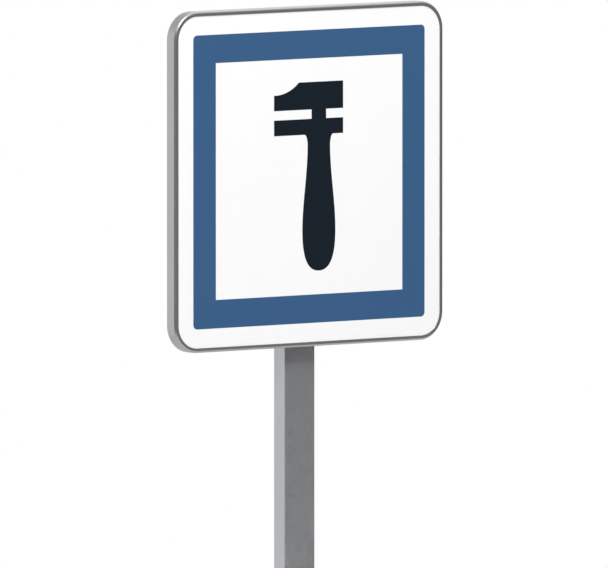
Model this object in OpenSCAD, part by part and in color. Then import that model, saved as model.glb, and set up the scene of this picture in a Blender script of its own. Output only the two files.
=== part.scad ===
// Road information sign: a square framed panel clamped to a rectangular steel post.
// Millimetres. +Z is up, the sign faces -Y, and the origin is the middle of the post's foot.

/* [Post] */
// Width of the post, seen from the front
post_w = 80; // [70:2:90]
// Depth of the post, front to back
post_d = 40; // [34:2:50]
// Wall of the post
post_wall = 2; // [1.5:0.5:2.5]
// Outer corner radius of the post
post_corner_r = 3; // [3:0.5:6]
// Length of the post
post_len = 2000; // [1500:50:3500]
// How far the post's top end stays below the panel's top edge
post_top_drop = 60; // [30:5:90]

/* [Post cap] */
// Height of the cap above the post's end
cap_head_h = 4; // [3:0.5:8]
// How far the cap's top edges slope in
cap_slope = 2.5; // [1:0.5:5]
// Depth of the cap's skirt inside the post
cap_skirt_h = 24; // [15:1:40]
// Wall of the cap's skirt
cap_skirt_wall = 2; // [1.5:0.5:4]
// Gap between the cap's skirt and the post's inside
cap_clearance = 0.5; // [0.3:0.1:0.8]
// Height of each gripping fin on the skirt
cap_fin_h = 1.2; // [0.8:0.2:2]
// Gap between a fin and the post's inside
cap_fin_gap = 0.1; // [0.05:0.05:0.3]
// Number of gripping fins
cap_fin_count = 3; // [2:1:4]

/* [Panel face] */
// Side of the square that shows inside the edge profile
face_size = 700; // [680:10:900]
// Corner radius of that square
face_corner_r = 50; // [30:5:70]
// Thickness of the aluminium sheet
sheet_t = 1.5; // [1:0.5:3]
// How far the sheet reaches under the lip of the edge profile
sheet_grip = 6; // [4:0.5:7]
// Gap between the sheet's edge and the bottom of its groove
sheet_edge_gap = 0.3; // [0.2:0.1:0.8]
// Thickness of the white reflective film
white_film_t = 0.3; // [0.2:0.1:0.5]
// Thickness of the coloured films on top of it
colour_film_t = 0.2; // [0.1:0.05:0.4]
// White margin outside the blue border
border_margin = 40; // [30:2:50]
// Width of the blue border band
border_w = 60; // [40:5:70]
// Outer corner radius of the blue border
border_corner_r = 10; // [4:1:20]

/* [Spanner symbol] */
// Height of the symbol
symbol_h = 400; // [360:10:420]
// Distance of the handle's centre line from the middle of the face
symbol_axis_x = 25.5; // [0:0.5:40]
// Reach of the jaws in front of the handle's centre line
jaw_reach = 120; // [100:5:140]
// Reach of the jaws behind the handle's centre line
jaw_back = 65; // [50:5:80]
// Height of the fixed jaw
fixed_jaw_h = 58; // [50:1:65]
// Length of the flat top of the fixed jaw
jaw_flat = 118.5; // [105:0.5:125]
// Drop from the flat top to the jaw's beak
beak_drop = 25.5; // [20:0.5:30]
// Radius of the hollow between the flat top and the beak
beak_r = 93; // [80:1:110]
// Opening between the two jaws
jaw_gap = 20; // [12:1:26]
// Height of the moving jaw
moving_jaw_h = 33; // [26:1:40]
// Width of the stem between the jaws
stem_w = 39; // [30:1:50]
// Width of the handle just under the moving jaw
handle_top_w = 60; // [50:1:66]
// Greatest width of the handle
handle_w = 88.5; // [76:0.5:96]
// Height of the widest place above the handle's round end
handle_belly_h = 86; // [76:1:100]
// Height of the hollow where the handle meets the moving jaw
handle_fillet_h = 23; // [16:1:28]
// Width of that hollow
handle_fillet_w = 8.5; // [5:0.5:12]

/* [Edge profile] */
// Width of the lip that shows round the face
rim_lip = 10; // [9:0.5:14]
// Depth of the profile, front to back
rim_depth = 28; // [24:0.5:36]
// Outer wall of the profile
rim_wall = 2; // [1.5:0.5:2.5]
// Radius of the rounded front edge
rim_nose_r = 5.4; // [4:0.1:5.8]
// Radius of the rear edge
rim_rear_r = 1; // [0.5:0.25:1.5]
// Thickness of the lip in front of the film
rim_lip_t = 1.4; // [1:0.1:2]
// Thickness of the web behind the sheet
rim_web_t = 1.8; // [1.2:0.1:3]
// How far the web reaches in behind the sheet
rim_web_w = 12; // [11:0.5:14]
// Width of the rear flange
rim_flange_w = 14; // [13:0.5:16]
// Thickness of the rear flange
rim_flange_t = 2; // [1.5:0.1:2.5]
// Gap of the butt joint at the bottom
rim_seam = 0.3; // [0.2:0.1:1]

/* [Edge profile joint] */
// Length of the angle that bridges the butt joint
angle_len = 120; // [110:5:160]
// Thickness of the angle's legs
angle_t = 2; // [1.5:0.5:3]
// Play between the angle and the profile's wall
angle_play = 0.2; // [0.1:0.1:0.5]
// Distance from the seam to the nearer rivet
joint_rivet_near = 15; // [10:1:20]
// Distance from the seam to the farther rivet
joint_rivet_far = 45; // [35:1:50]

/* [Rails] */
// Height of a rail's section
rail_h = 40; // [38:1:50]
// How far the rails stand out behind the edge profile
rail_stand_out = 5.2; // [5:0.1:9]
// Wall of a rail
rail_wall = 2; // [1.5:0.5:2.5]
// Outer corner radius of a rail's section
rail_corner_r = 1.5; // [1:0.5:3]
// Opening of the rail's slot
rail_slot = 12; // [11.5:0.5:14]
// Distance between the centre lines of the two rails
rail_spacing = 400; // [320:10:460]
// Gap between a rail's end and the edge profile's rear flange
rail_end_gap = 1; // [0.5:0.5:3]
// Thickness of the bonding tape
tape_t = 1; // [0.5:0.1:1.5]
// Width of each strip of tape
tape_w = 12; // [8:1:14]
// Distance between the centre lines of a rail's two strips
tape_pitch = 22; // [20:1:24]
// How far the tape stops short of the rail's end
tape_end_gap = 10; // [5:1:30]

/* [Rail brackets] */
// Gap between a bracket's edge and the inside of the rail
bracket_side_gap = 1; // [0.5:0.5:2]
// Thickness of a bracket
bracket_t = 2; // [1.5:0.5:2.5]
// Inner bend radius of a bracket
bracket_bend_r = 1; // [0.5:0.25:1.25]
// Corner radius of a bracket's ends
bracket_corner_r = 3; // [1:0.5:4]
// Length of the leg inside the rail
bracket_rail_leg = 40; // [30:1:60]
// Gap between a bracket and the edge profile's wall
bracket_end_gap = 1; // [0.5:0.5:2]
// Distance from the rail's end to the rivets in its lips
bracket_rivet_inset = 22; // [16:1:26]

/* [Rivets] */
// Diameter of a rivet's shank
rivet_d = 4; // [3:0.2:4.8]
// Play round a shank in its hole
rivet_play = 0.1; // [0.05:0.05:0.2]
// Diameter of a rivet's head
rivet_head_d = 8; // [7:0.5:9]
// Height of a rivet's head
rivet_head_h = 1.4; // [1:0.1:2]
// Diameter of the blind end
rivet_bulb_d = 5.4; // [5:0.1:6]
// Length of the blind end
rivet_bulb_h = 3; // [2:0.5:4]

/* [Clamps] */
// Height of a clamp band
clamp_h = 40; // [30:1:50]
// Thickness of a clamp band
clamp_t = 3; // [2:0.5:4]
// Gap between the band and the post's sides
clamp_side_gap = 0.5; // [0.3:0.1:1]
// Gap left for tightening between a band's ear and the rail
clamp_draw = 1; // [0.5:0.1:2]
// Bend radius between the band's side and its ear
clamp_ear_bend_r = 3; // [2:0.5:5]
// Corner radius of an ear
clamp_ear_corner_r = 8; // [4:1:12]
// Metal left beyond the washer, each way
clamp_ear_land = 2.5; // [1:0.5:6]
// Height of the pressed bead round the band
bead_h = 14; // [12:1:20]
// Depth of the pressed bead
bead_depth = 1.5; // [1:0.5:2.5]
// Distance from the ear's rear face to the bead's end
bead_start = 8; // [4:1:12]

/* [Bolts] */
// Diameter of a bolt
bolt_d = 8; // [6:0.5:8.5]
// Play round a bolt in its ear
bolt_hole_play = 0.5; // [0.3:0.1:0.6]
// Length of a bolt's hammer head, across the slot
bolt_head_l = 22; // [18:1:26]
// Width of a bolt's hammer head
bolt_head_w = 11; // [9:0.5:11]
// Height of a bolt's hammer head
bolt_head_h = 5; // [4:0.5:7]
// Length of thread that stands out of the nut
bolt_stand_out = 4; // [2:0.5:10]
// Chamfer on the bolt's end
bolt_chamfer = 1; // [0.5:0.25:1.5]
// Width of a nut across its flats
nut_af = 13; // [12:0.5:14]
// Height of a nut
nut_h = 6.8; // [5:0.1:8]
// Play between a nut and its bolt
nut_play = 0.1; // [0.05:0.05:0.2]
// Diameter of a washer
washer_d = 17; // [16:0.5:20]
// Thickness of a washer
washer_t = 1.6; // [1:0.1:2.5]
// Play between a washer and its bolt
washer_play = 0.2; // [0.1:0.05:0.4]

/* [Hidden] */
$fn = 48;

// How far a cutting shape runs past the face that it cuts
past = 1;
// Points along each curved stretch of the symbol
curve_steps = 12;

// Sizes of the panel
half_face = face_size / 2;
half_rim = half_face + rim_lip;
corner_r = face_corner_r + rim_lip;
straight = 2 * (half_rim - corner_r);
half_sheet = half_face + sheet_grip - sheet_edge_gap;
sheet_corner_r = face_corner_r + sheet_grip - sheet_edge_gap;
half_border = half_face - border_margin;
panel_z = post_len + post_top_drop - half_rim;
upper_z = panel_z + rail_spacing / 2;
lower_z = panel_z - rail_spacing / 2;
post_inner_r = post_corner_r - post_wall;

// Depths, from the post's front face forward to the lip
rail_d = rim_depth + rail_stand_out - rim_lip_t - white_film_t - sheet_t - tape_t;
rail_rear_y = -post_d / 2;
rail_front_y = rail_rear_y - rail_d;
sheet_rear_y = rail_front_y - tape_t;
sheet_front_y = sheet_rear_y - sheet_t;
film_front_y = sheet_front_y - white_film_t;
rim_front_y = film_front_y - rim_lip_t;
rim_rear_y = rim_front_y + rim_depth;
flange_front_y = rim_rear_y - rim_flange_t;
web_rear_y = sheet_rear_y + rim_web_t;

// Sizes of the rails and brackets
rail_end_x = half_rim - rim_flange_w - rail_end_gap;
lip_front_y = rail_rear_y - rail_wall;
bracket_end_x = half_rim - rim_wall - bracket_end_gap;
flange_rivet_x = half_rim - (rim_wall + rim_flange_w) / 2;
lip_rivet_x = rail_end_x - bracket_rivet_inset;
lip_rivet_z = (rail_slot / 2 + rail_h / 2) / 2;
bracket_h = rail_h - 2 * rail_wall - 2 * bracket_side_gap;
flange_grip = rim_flange_t + bracket_t;
joint_grip = rim_flange_t + angle_t;
lip_grip = rail_wall + bracket_t;

// Sizes of the clamps and bolts
band_x = post_w / 2 + clamp_side_gap;
ear_front_y = rail_rear_y + clamp_draw;
ear_rear_y = ear_front_y + clamp_t;
ear_bend_x = band_x + clamp_t + clamp_ear_bend_r;
bolt_x = ear_bend_x + washer_d / 2;
ear_end_x = bolt_x + washer_d / 2 + clamp_ear_land;
nut_rear_y = ear_rear_y + washer_t + nut_h;
bolt_end_y = nut_rear_y + bolt_stand_out;

// Colours, as the photograph shows them
galvanised = "#A6A8AB";
aluminium = "#B2B3B5";
zinc = "#9A9C9E";
white = "#FFFFFF";
blue = "#3D5F86";
black = "#1C232A";
dark_plastic = "#3A3C3E";
tape_grey = "#55585A";

// A square with rounded corners, or a rectangle, centred on the origin
module rounded(w, h, r) {
    square([w - 2 * r, h], center = true);
    square([w, h - 2 * r], center = true);
    for (sx = [-1, 1], sy = [-1, 1])
        translate([sx * (w / 2 - r), sy * (h / 2 - r)]) circle(r);
}

// A flat outline stood up in the panel's plane, with its front at front_y and its back behind it
module upright(front_y, thickness) {
    translate([0, front_y + thickness, panel_z])
        rotate([90, 0, 0]) linear_extrude(thickness) children();
}

// A quarter of a bent strip, centred on its bend: sx and sy give the quarter
module bend(inner_r, t, sx, sy) {
    side = inner_r + t;
    intersection() {
        difference() {
            circle(side);
            circle(inner_r);
        }
        translate([min(0, sx * side), min(0, sy * side)]) square(side);
    }
}

// A round hole or shank along Y, from y0 to y1
module along_y(x, z, y0, y1, r) {
    translate([x, y0, z]) rotate([-90, 0, 0]) cylinder(h = y1 - y0, r = r);
}

// Points of a cubic curve from a to d, steered by b and c
function curve(a, b, c, d) = [
    for (i = [0:curve_steps])
        let (t = i / curve_steps, s = 1 - t)
            s * s * s * a + 3 * s * s * t * b + 3 * s * t * t * c + t * t * t * d
];

// The post: a galvanised rectangular steel tube, open at the foot
module post() {
    color(galvanised) difference() {
        linear_extrude(post_len) rounded(post_w, post_d, post_corner_r);
        translate([0, 0, -past]) linear_extrude(post_len + 2 * past)
            rounded(post_w - 2 * post_wall, post_d - 2 * post_wall, post_inner_r);
    }
}

// One level of the cap, set in from the post's inside by gap
module cap_inside(gap) {
    rounded(post_w - 2 * post_wall - 2 * gap, post_d - 2 * post_wall - 2 * gap, post_inner_r);
}

// The cap: a moulded plug with a sloped head, a hollow skirt and gripping fins
module post_cap() {
    fin_pitch = cap_skirt_h / (cap_fin_count + 1);
    color(dark_plastic) translate([0, 0, post_len]) {
        hull() {
            linear_extrude(cap_head_h / 2) rounded(post_w, post_d, post_corner_r, $fn = 32);
            linear_extrude(cap_head_h)
                rounded(post_w - 2 * cap_slope, post_d - 2 * cap_slope, post_corner_r, $fn = 32);
        }
        difference() {
            union() {
                translate([0, 0, -cap_skirt_h]) linear_extrude(cap_skirt_h) cap_inside(cap_clearance);
                for (i = [1:cap_fin_count])
                    translate([0, 0, -i * fin_pitch - cap_fin_h / 2])
                        linear_extrude(cap_fin_h) cap_inside(cap_fin_gap);
            }
            translate([0, 0, -cap_skirt_h - past]) linear_extrude(cap_skirt_h + past)
                cap_inside(cap_clearance + cap_skirt_wall);
        }
    }
}

// The edge profile's section: x runs out to the outer wall at 0, and y back from the lip at 0
module rim_section() {
    groove_floor = -(rim_lip - sheet_grip);
    groove_front = film_front_y - rim_front_y;
    groove_rear = sheet_rear_y - rim_front_y;
    web_rear = web_rear_y - rim_front_y;
    flange_front = rim_depth - rim_flange_t;
    difference() {
        union() {
            translate([-rim_nose_r, rim_nose_r]) circle(rim_nose_r);
            translate([-rim_nose_r, rim_nose_r]) square([rim_nose_r, rim_depth - rim_nose_r - rim_rear_r]);
            translate([-rim_rear_r, rim_depth - rim_rear_r]) circle(rim_rear_r);
            translate([-rim_nose_r, rim_depth - 2 * rim_rear_r])
                square([rim_nose_r - rim_rear_r, 2 * rim_rear_r]);
            translate([-rim_flange_w, 0]) square([rim_flange_w - rim_nose_r, rim_depth]);
        }
        // Space in front of the face and the lip's round end
        translate([-rim_flange_w - past, -past])
            square([rim_flange_w + past - rim_lip + rim_lip_t / 2, groove_front + past]);
        // Groove that grips the sheet and its film
        translate([-rim_flange_w - past, groove_front])
            square([rim_flange_w + past + groove_floor, groove_rear - groove_front]);
        // Space past the end of the web
        translate([-rim_flange_w - past, groove_rear - past])
            square([rim_flange_w + past - rim_web_w, web_rear - groove_rear + 2 * past]);
        // Channel between the web and the rear flange
        translate([-rim_flange_w - past, web_rear])
            square([rim_flange_w + past - rim_wall, flange_front - web_rear]);
    }
    translate([-rim_lip + rim_lip_t / 2, rim_lip_t / 2]) circle(rim_lip_t / 2);
}

// The edge profile: one extrusion bent round four corners and butted together at the bottom
module edge_profile() {
    color(aluminium) difference() {
        translate([0, rim_front_y, panel_z])
            for (i = [0:3]) rotate([0, 90 * i, 0]) {
                translate([half_rim, 0, -straight / 2]) linear_extrude(straight) rim_section();
                translate([straight / 2, 0, -straight / 2]) rotate([-90, 0, 0])
                    rotate_extrude(angle = 90) translate([corner_r, 0]) rim_section();
            }
        translate([-rim_seam / 2, rim_front_y - past, panel_z - half_rim - past])
            cube([rim_seam, rim_depth + 2 * past, rim_flange_w + 2 * past]);
        at_bracket_rivets() rivet_hole(rim_rear_y, flange_grip);
        at_joint_rivets() rivet_hole(rim_rear_y, joint_grip);
    }
}

// Blind rivet, pushed in from the rear: its head sits on y = 0 and its shank runs forward through grip
module rivet(grip) {
    cap_r = (rivet_head_h * rivet_head_h + rivet_head_d * rivet_head_d / 4) / (2 * rivet_head_h);
    intersection() {
        translate([0, rivet_head_h - cap_r, 0]) sphere(cap_r);
        along_y(0, 0, 0, rivet_head_h + past, rivet_head_d / 2);
    }
    along_y(0, 0, -grip - rivet_bulb_h / 2, 0, rivet_d / 2);
    along_y(0, 0, -grip - rivet_bulb_h, -grip, rivet_bulb_d / 2);
}

module rivet_hole(seat_y, grip) {
    along_y(0, 0, seat_y - grip - past, seat_y + past, rivet_d / 2 + rivet_play);
}

// Places, in X and Z, of the rivets through the edge profile's flange at the rail brackets
module at_bracket_rivets() {
    for (sx = [-1, 1], rail_z = [lower_z, upper_z], up = [-1, 1])
        translate([sx * flange_rivet_x, 0, rail_z + up * lip_rivet_z]) children();
}

// Places of the rivets through the lips of one rail, on the side sx
module at_lip_rivets(sx, rail_z) {
    for (up = [-1, 1])
        translate([sx * lip_rivet_x, 0, rail_z + up * lip_rivet_z]) children();
}

// Places of the rivets through the edge profile's flange at the butt joint
module at_joint_rivets() {
    for (x = [-joint_rivet_far, -joint_rivet_near, joint_rivet_near, joint_rivet_far])
        translate([x, 0, panel_z - half_rim + (rim_wall + rim_flange_w) / 2]) children();
}

// The angle inside the profile's channel that bridges the butt joint
module joint_angle() {
    low_z = panel_z - half_rim + rim_wall + angle_play;
    leg = rim_flange_w - rim_wall - angle_play;
    front_y = web_rear_y + angle_play;
    color(aluminium) difference() {
        union() {
            translate([-angle_len / 2, flange_front_y - angle_t, low_z]) cube([angle_len, angle_t, leg]);
            translate([-angle_len / 2, front_y, low_z]) cube([angle_len, flange_front_y - front_y, angle_t]);
        }
        at_joint_rivets() rivet_hole(rim_rear_y, joint_grip);
    }
}

module joint_rivets() {
    color(zinc) at_joint_rivets() translate([0, rim_rear_y, 0]) rivet(joint_grip);
}

// The sheet: flat aluminium, held all round in the profile's groove
module face_sheet() {
    color(aluminium) upright(sheet_front_y, sheet_t)
        rounded(2 * half_sheet, 2 * half_sheet, sheet_corner_r);
}

module white_film() {
    color(white) upright(film_front_y, white_film_t)
        rounded(2 * half_sheet, 2 * half_sheet, sheet_corner_r);
}

// The blue border: a square band with small outer radii and a sharp-cornered window
module blue_border() {
    window = 2 * (half_border - border_w);
    color(blue) upright(film_front_y - colour_film_t, colour_film_t) difference() {
        rounded(2 * half_border, 2 * half_border, border_corner_r);
        square(window, center = true);
    }
}

// One edge of the handle, from the moving jaw to the round end, on the side sx. It is three curves:
// a hollow under the jaw, a long swell, and a quarter of the round end.
function handle_edge(sx, jaw_z, end_z) =
    let (
        top = handle_top_w / 2,
        belly = handle_w / 2,
        fillet_z = jaw_z - handle_fillet_h,
        belly_z = end_z + handle_belly_h,
        hollow_pull = 0.6 * handle_fillet_w,
        swell_pull = (fillet_z - belly_z) / 3,
        end_pull_z = 0.6 * handle_belly_h,
        end_pull_x = 0.75 * belly,
        hollow = curve([top + handle_fillet_w, jaw_z], [top + handle_fillet_w - hollow_pull, jaw_z],
            [top, fillet_z + handle_fillet_h / 2], [top, fillet_z]),
        swell = curve([top, fillet_z], [top, fillet_z - swell_pull],
            [belly, belly_z + swell_pull], [belly, belly_z]),
        round_end = curve([belly, belly_z], [belly, belly_z - end_pull_z],
            [end_pull_x, end_z], [0, end_z])
    )
    [for (p = concat(hollow, swell, round_end)) [symbol_axis_x + sx * p[0], p[1]]];

// The symbol: an open-jawed spanner, upright, with its jaws to the left
module symbol_outline() {
    top_z = symbol_h / 2;
    beak_z = top_z - beak_drop;
    left_x = symbol_axis_x - jaw_reach;
    jaw_w = jaw_reach + jaw_back;
    fixed_z = top_z - fixed_jaw_h;
    moving_z = fixed_z - jaw_gap - moving_jaw_h;
    flat_x = symbol_axis_x + jaw_back - jaw_flat;
    hollow_x = flat_x - sqrt(beak_r * beak_r - (beak_r - beak_drop) * (beak_r - beak_drop));
    difference() {
        translate([left_x, fixed_z]) square([jaw_w, fixed_jaw_h]);
        translate([left_x - past, beak_z]) square([hollow_x - left_x + past, beak_drop + past]);
        intersection() {
            translate([hollow_x, beak_z + beak_r]) circle(beak_r, $fn = 96);
            translate([hollow_x - past, beak_z - past])
                square([flat_x - hollow_x + 2 * past, beak_drop + 2 * past]);
        }
    }
    translate([symbol_axis_x - stem_w / 2, fixed_z - jaw_gap - moving_jaw_h / 2])
        square([stem_w, jaw_gap + moving_jaw_h]);
    translate([left_x, moving_z]) square([jaw_w, moving_jaw_h]);

    left = handle_edge(-1, moving_z, -top_z);
    right = handle_edge(1, moving_z, -top_z);
    polygon(concat(left, [for (i = [len(right) - 2:-1:0]) right[i]]));
}

module spanner_symbol() {
    color(black) upright(film_front_y - colour_film_t, colour_film_t) symbol_outline();
}

// A rail's section: x runs back from the sheet and y up, a square C with its slot at the rear
module rail_section() {
    difference() {
        translate([rail_d / 2, 0]) rounded(rail_d, rail_h, rail_corner_r);
        translate([rail_wall, -rail_h / 2 + rail_wall])
            square([rail_d - 2 * rail_wall, rail_h - 2 * rail_wall]);
        translate([rail_d / 2, -rail_slot / 2]) square([rail_d, rail_slot]);
    }
}

// A rail: a slotted aluminium channel across the back of the sheet
module rail(rail_z) {
    color(aluminium) difference() {
        translate([-rail_end_x, rail_front_y, rail_z]) rotate([90, 0, 90])
            linear_extrude(2 * rail_end_x) rail_section();
        for (sx = [-1, 1]) at_lip_rivets(sx, rail_z) rivet_hole(rail_rear_y, lip_grip);
    }
}

// Two strips of bonding tape between a rail and the sheet
module rail_tape(rail_z) {
    tape_len = 2 * (rail_end_x - tape_end_gap);
    color(tape_grey) for (up = [-1, 1])
        translate([-tape_len / 2, sheet_rear_y, rail_z + up * tape_pitch / 2 - tape_w / 2])
            cube([tape_len, tape_t, tape_w]);
}

// The bracket's section, seen from above: it steps from the rail's lips out to the profile's flange
module bracket_section() {
    r = bracket_bend_r;
    t = bracket_t;
    rail_leg_y = lip_front_y - t;
    flange_leg_y = flange_front_y - t;
    step_x = rail_end_x - t;
    translate([rail_end_x - bracket_rail_leg, rail_leg_y]) square([bracket_rail_leg - t - r, t]);
    translate([step_x - r, rail_leg_y - r]) bend(r, t, 1, 1);
    translate([step_x, flange_leg_y + t + r]) square([t, rail_leg_y - r - (flange_leg_y + t + r)]);
    translate([step_x + t + r, flange_leg_y + t + r]) bend(r, t, -1, -1);
    translate([step_x + t + r, flange_leg_y]) square([bracket_end_x - step_x - t - r, t]);
}

// A bracket: a folded steel plate that ties a rail's end to the edge profile, on the side sx
module bracket(sx, rail_z) {
    leg_mid_x = (rail_end_x - bracket_rail_leg + bracket_end_x) / 2;
    bracket_w = bracket_end_x - (rail_end_x - bracket_rail_leg);
    color(zinc) difference() {
        intersection() {
            translate([0, 0, rail_z - bracket_h / 2]) linear_extrude(bracket_h)
                mirror([sx < 0 ? 1 : 0, 0]) bracket_section();
            translate([sx * leg_mid_x, rail_rear_y, rail_z]) rotate([90, 0, 0])
                linear_extrude(rail_d) rounded(bracket_w, bracket_h, bracket_corner_r);
        }
        at_bracket_rivets() rivet_hole(rim_rear_y, flange_grip);
        at_lip_rivets(sx, rail_z) rivet_hole(rail_rear_y, lip_grip);
    }
}

module bracket_rivets() {
    color(zinc) {
        at_bracket_rivets() translate([0, rim_rear_y, 0]) rivet(flange_grip);
        for (sx = [-1, 1], rail_z = [lower_z, upper_z]) at_lip_rivets(sx, rail_z)
            translate([0, rail_rear_y, 0]) rivet(lip_grip);
    }
}

// Half of a clamp band seen from above, without its ear: t thick outward from the post
module band_half(t) {
    bend_x = band_x - post_corner_r;
    bend_y = post_d / 2 - post_corner_r;
    side_front_y = ear_rear_y + clamp_ear_bend_r;
    translate([0, post_d / 2]) square([bend_x, t]);
    translate([bend_x, bend_y]) bend(post_corner_r, t, 1, 1);
    translate([band_x, side_front_y]) square([t, bend_y - side_front_y]);
}

// A clamp's ear seen from above, with the bend that joins it to the band
module ear_half() {
    translate([ear_bend_x, ear_rear_y + clamp_ear_bend_r]) bend(clamp_ear_bend_r, clamp_t, -1, -1);
    translate([ear_bend_x, ear_front_y]) square([ear_end_x - ear_bend_x, clamp_t]);
}

// A layer of the band, t thick and h high, behind front_y
module band_layer(t, h, front_y) {
    linear_extrude(h, center = true) intersection() {
        for (m = [0, 1]) mirror([m, 0]) band_half(t);
        translate([-ear_end_x, front_y]) square([2 * ear_end_x, 2 * post_d]);
    }
}

// A clamp: a steel band folded round the back of the post, with a bead pressed into it and a bolted
// ear on each side
module clamp(rail_z) {
    bead_front_y = ear_rear_y + bead_start;
    color(galvanised) translate([0, 0, rail_z]) difference() {
        union() {
            intersection() {
                linear_extrude(clamp_h, center = true) for (m = [0, 1]) mirror([m, 0]) {
                    band_half(clamp_t);
                    ear_half();
                }
                translate([0, 2 * post_d, 0]) rotate([90, 0, 0])
                    linear_extrude(4 * post_d) rounded(2 * ear_end_x, clamp_h, clamp_ear_corner_r);
            }
            band_layer(clamp_t + bead_depth, bead_h, bead_front_y);
        }
        band_layer(bead_depth, bead_h - 2 * clamp_t, bead_front_y + clamp_t);
        for (sx = [-1, 1])
            along_y(sx * bolt_x, 0, ear_front_y - past, ear_rear_y + past, bolt_d / 2 + bolt_hole_play);
    }
}

// Places of the four bolts
module at_bolts() {
    for (sx = [-1, 1], rail_z = [lower_z, upper_z]) translate([sx * bolt_x, 0, rail_z]) children();
}

// A hammer-head bolt: its head lies across the slot, inside the rail
module clamp_bolts() {
    color(zinc) at_bolts() {
        translate([-bolt_head_w / 2, lip_front_y - bolt_head_h, -bolt_head_l / 2])
            cube([bolt_head_w, bolt_head_h, bolt_head_l]);
        translate([-bolt_head_w / 2, lip_front_y - past, -bolt_head_w / 2])
            cube([bolt_head_w, rail_wall + past, bolt_head_w]);
        along_y(0, 0, rail_rear_y - past, bolt_end_y - bolt_chamfer, bolt_d / 2);
        translate([0, bolt_end_y - bolt_chamfer, 0]) rotate([-90, 0, 0])
            cylinder(h = bolt_chamfer, r1 = bolt_d / 2, r2 = bolt_d / 2 - bolt_chamfer);
    }
}

module clamp_washers() {
    color(zinc) at_bolts() difference() {
        along_y(0, 0, ear_rear_y, ear_rear_y + washer_t, washer_d / 2);
        along_y(0, 0, ear_rear_y - past, ear_rear_y + washer_t + past, bolt_d / 2 + washer_play);
    }
}

// A hexagon nut: its corners are chamfered to a circle of the width across its flats
module clamp_nuts() {
    flat_r = nut_af / 2;
    widest_r = flat_r + 2 * nut_h;
    color(zinc) at_bolts() translate([0, ear_rear_y + washer_t, 0]) rotate([-90, 0, 0]) difference() {
        intersection() {
            cylinder(h = nut_h, r = nut_af / sqrt(3), $fn = 6);
            cylinder(h = nut_h, r1 = widest_r, r2 = flat_r);
            cylinder(h = nut_h, r1 = flat_r, r2 = widest_r);
        }
        translate([0, 0, -past]) cylinder(h = nut_h + 2 * past, r = bolt_d / 2 + nut_play);
    }
}

post();
post_cap();
edge_profile();
joint_angle();
joint_rivets();
face_sheet();
white_film();
blue_border();
spanner_symbol();
rail(upper_z);  // upper_rail
rail(lower_z);  // lower_rail
rail_tape(upper_z);  // upper_rail_tape
rail_tape(lower_z);  // lower_rail_tape
bracket(-1, upper_z);  // upper_left_bracket
bracket(1, upper_z);  // upper_right_bracket
bracket(-1, lower_z);  // lower_left_bracket
bracket(1, lower_z);  // lower_right_bracket
bracket_rivets();
clamp(upper_z);  // upper_clamp
clamp(lower_z);  // lower_clamp
clamp_bolts();
clamp_washers();
clamp_nuts();
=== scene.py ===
"""A square road information sign on a rectangular post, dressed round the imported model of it."""

import math

import bmesh
import bpy
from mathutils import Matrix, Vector


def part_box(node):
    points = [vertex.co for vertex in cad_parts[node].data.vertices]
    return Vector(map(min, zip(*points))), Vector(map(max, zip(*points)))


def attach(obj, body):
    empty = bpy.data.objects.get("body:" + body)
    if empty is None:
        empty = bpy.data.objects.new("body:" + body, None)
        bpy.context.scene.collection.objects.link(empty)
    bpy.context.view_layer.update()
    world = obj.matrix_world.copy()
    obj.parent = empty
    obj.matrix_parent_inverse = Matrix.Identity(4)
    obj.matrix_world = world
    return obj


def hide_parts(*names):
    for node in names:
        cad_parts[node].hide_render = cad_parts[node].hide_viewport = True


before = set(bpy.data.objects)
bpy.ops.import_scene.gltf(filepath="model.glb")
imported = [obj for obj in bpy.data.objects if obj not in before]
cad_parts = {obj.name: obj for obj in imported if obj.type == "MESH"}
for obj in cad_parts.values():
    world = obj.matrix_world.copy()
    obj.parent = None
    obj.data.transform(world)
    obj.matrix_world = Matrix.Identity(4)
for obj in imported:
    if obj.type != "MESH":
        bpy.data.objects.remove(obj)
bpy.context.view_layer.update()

# The viewpoint: a long lens a good way off, a little above the middle of the panel and well round to
# its left. It makes no part of the sign.
VIEW_TURN = math.radians(-38.03)
VIEW_RISE = math.radians(4.17)
LENS_MM, SENSOR_MM = 1500, 36
NEAREST, FURTHEST = 1, 200
# Width of what the picture takes in at the panel, and how far its middle lies from the face's middle
PICTURE_WIDTH = 1.2838
AIM_RIGHT, AIM_UP = -0.01125, -0.2268


def add(name, data):
    """Adds an object to the scene."""
    added = bpy.data.objects.new(name, data)
    bpy.context.scene.collection.objects.link(added)
    return added


film_low, film_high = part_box("white_film")
panel_z = (film_low.z + film_high.z) / 2
face_y = film_low.y

to_camera = Vector((math.sin(VIEW_TURN) * math.cos(VIEW_RISE),
                    -math.cos(VIEW_TURN) * math.cos(VIEW_RISE), math.sin(VIEW_RISE)))
right = Vector((math.cos(VIEW_TURN), math.sin(VIEW_TURN), 0))
up = to_camera.cross(right)
aim = Vector((0, face_y, panel_z)) + AIM_RIGHT * right + AIM_UP * up

camera = add("camera", bpy.data.cameras.new("camera"))
camera.data.lens = LENS_MM
camera.data.sensor_width = SENSOR_MM
camera.data.clip_start = NEAREST
camera.data.clip_end = FURTHEST
camera.location = aim + to_camera * (PICTURE_WIDTH * LENS_MM / SENSOR_MM)
camera.rotation_mode = "QUATERNION"
camera.rotation_quaternion = (-to_camera).to_track_quat("-Z", "Y")
bpy.context.scene.camera = camera
bpy.context.scene.view_settings.view_transform = "Standard"

# The studio: plain white for the eye, with a soft even daylight and three round lamps. Metal mirrors a
# room that is white, but dark behind the camera and a little dimmer high up at the back. Nothing of it
# belongs to the sign.
DAYLIGHT = 0.62
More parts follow.
